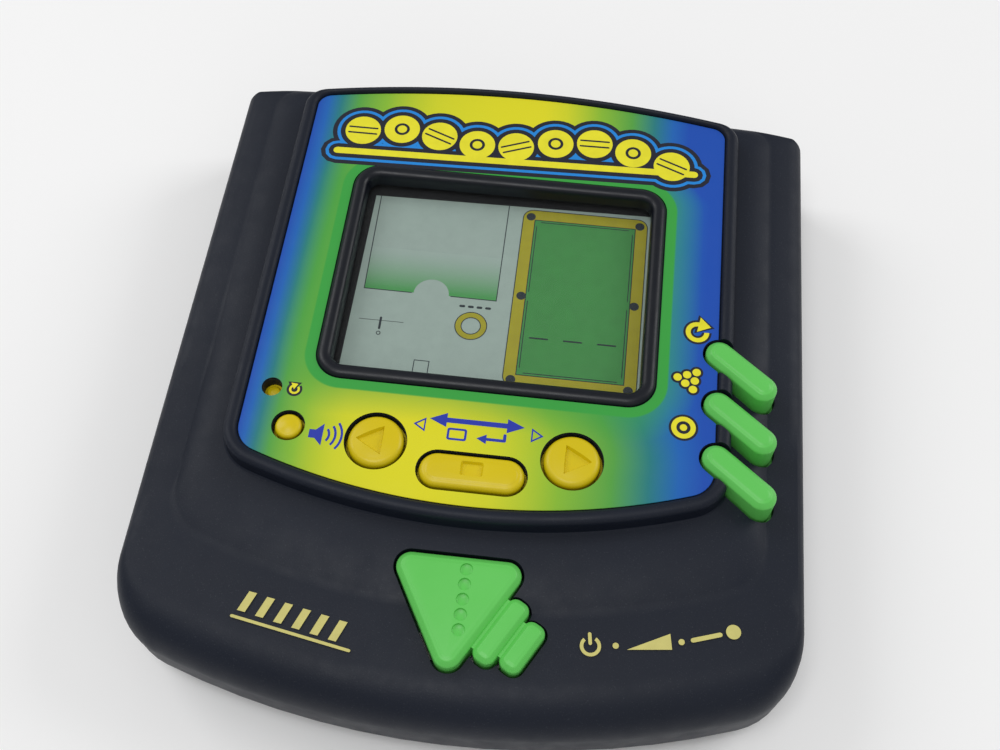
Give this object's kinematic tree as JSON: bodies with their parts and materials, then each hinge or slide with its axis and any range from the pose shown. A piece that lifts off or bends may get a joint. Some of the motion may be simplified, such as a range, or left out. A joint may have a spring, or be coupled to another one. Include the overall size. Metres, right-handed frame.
{
  "type": "handheld lcd game",
  "caption": "Handheld electronic game: two-part plastic case, raised printed panel round a segment display, round, long and slanted keys, a triangular action key and a sliding battery door.",
  "frame": {"origin": "middle of the footprint on the flat back that it lies on", "axes": "+X across the face to the player's right, +Y from the player's edge towards the top edge, +Z out of the face"},
  "size_m": [0.114, 0.126, 0.0261],
  "materials": {
    "shell": "dark navy-grey moulded ABS with a fine spark-eroded texture",
    "printed_plate": "screen-printed sheet with a satin varnish",
    "clear_lens": "clear polished acrylic",
    "printed_film": "printed plastic film",
    "display_glass": "display glass with polariser",
    "reflector": "satin silvered film",
    "black_frame": "black moulded plastic",
    "zebra_rubber": "striped conductive rubber",
    "board": "green solder-resist over fibre board",
    "black_resin": "black epoxy resin",
    "tinned_steel": "nickel-plated spring steel",
    "capacitor_sleeve": "shrink sleeve",
    "keypad_rubber": "pale grey silicone rubber",
    "carbon_rubber": "carbon-filled rubber",
    "yellow_cap": "yellow moulded ABS, satin",
    "green_cap": "green moulded ABS, satin",
    "brass_plate": "rolled brass",
    "ceramic": "silvered ceramic",
    "wire_sleeve": "black sleeve",
    "wire_red": "red sleeve",
    "cell_jacket": "printed metal jacket"
  },
  "bodies": {
    "root": {"front_case": "shell", "rear_case": "shell", "faceplate": "printed_plate", "screen_lens": "clear_lens", "lcd_printed_film": "printed_film", "lcd_glass": "display_glass", "lcd_reflector": "reflector", "lcd_holder": "black_frame", "zebra_strip": "zebra_rubber", "circuit_board": "board", "chip_blob": "black_resin", "crystal": "tinned_steel", "capacitor": "capacitor_sleeve", "chip_resistors": "black_resin", "select_keypad": "keypad_rubber", "side_keypad": "keypad_rubber", "shoot_keypad": "keypad_rubber", "carbon_pills": "carbon_rubber", "buzzer_disc": "brass_plate", "buzzer_ceramic": "ceramic", "buzzer_leads": "wire_sleeve", "battery_cell_a": "cell_jacket", "battery_cell_b": "cell_jacket", "contact_bridge": "tinned_steel", "contact_positive": "tinned_steel", "contact_negative": "tinned_steel", "battery_lead_red": "wire_red", "battery_lead_black": "wire_sleeve", "case_screws": "tinned_steel", "board_screws": "tinned_steel"},
    "left_key": {"left_button": "yellow_cap"},
    "right_key": {"right_button": "yellow_cap"},
    "enter_key": {"enter_button": "yellow_cap"},
    "sound_key": {"sound_button": "yellow_cap"},
    "reset_key": {"reset_button": "yellow_cap"},
    "new_game_key": {"new_game_button": "green_cap"},
    "rack_key": {"rack_button": "green_cap"},
    "ball_key": {"ball_button": "green_cap"},
    "shoot_key": {"shoot_button": "green_cap"},
    "door": {"battery_door": "shell"}
  },
  "joints": [
    {"name": "left_press", "type": "slide", "parent": "root", "child": "left_key", "axis": [0, 0, -1], "range_m": [0, 0.001], "stiffness_N_per_m": 300, "deforming": ["select_keypad"]},
    {"name": "right_press", "type": "slide", "parent": "root", "child": "right_key", "axis": [0, 0, -1], "range_m": [0, 0.001], "stiffness_N_per_m": 300, "deforming": ["select_keypad"]},
    {"name": "enter_press", "type": "slide", "parent": "root", "child": "enter_key", "axis": [0, 0, -1], "range_m": [0, 0.001], "stiffness_N_per_m": 300, "deforming": ["select_keypad"]},
    {"name": "sound_press", "type": "slide", "parent": "root", "child": "sound_key", "axis": [0, 0, -1], "range_m": [0, 0.001], "stiffness_N_per_m": 300, "deforming": ["select_keypad"]},
    {"name": "reset_press", "type": "slide", "parent": "root", "child": "reset_key", "axis": [0, 0, -1], "range_m": [0, 0.001], "stiffness_N_per_m": 300, "deforming": ["select_keypad"]},
    {"name": "new_game_press", "type": "slide", "parent": "root", "child": "new_game_key", "axis": [0, 0, -1], "range_m": [0, 0.001], "stiffness_N_per_m": 300, "deforming": ["side_keypad"]},
    {"name": "rack_press", "type": "slide", "parent": "root", "child": "rack_key", "axis": [0, 0, -1], "range_m": [0, 0.001], "stiffness_N_per_m": 300, "deforming": ["side_keypad"]},
    {"name": "ball_press", "type": "slide", "parent": "root", "child": "ball_key", "axis": [0, 0, -1], "range_m": [0, 0.001], "stiffness_N_per_m": 300, "deforming": ["side_keypad"]},
    {"name": "shoot_press", "type": "slide", "parent": "root", "child": "shoot_key", "axis": [0, 0, -1], "range_m": [0, 0.0009], "stiffness_N_per_m": 300, "deforming": ["shoot_keypad"]},
    {"name": "door_slide", "type": "slide", "parent": "root", "child": "door", "axis": [0, 1, 0], "range_m": [0, 0.03]}
  ]
}
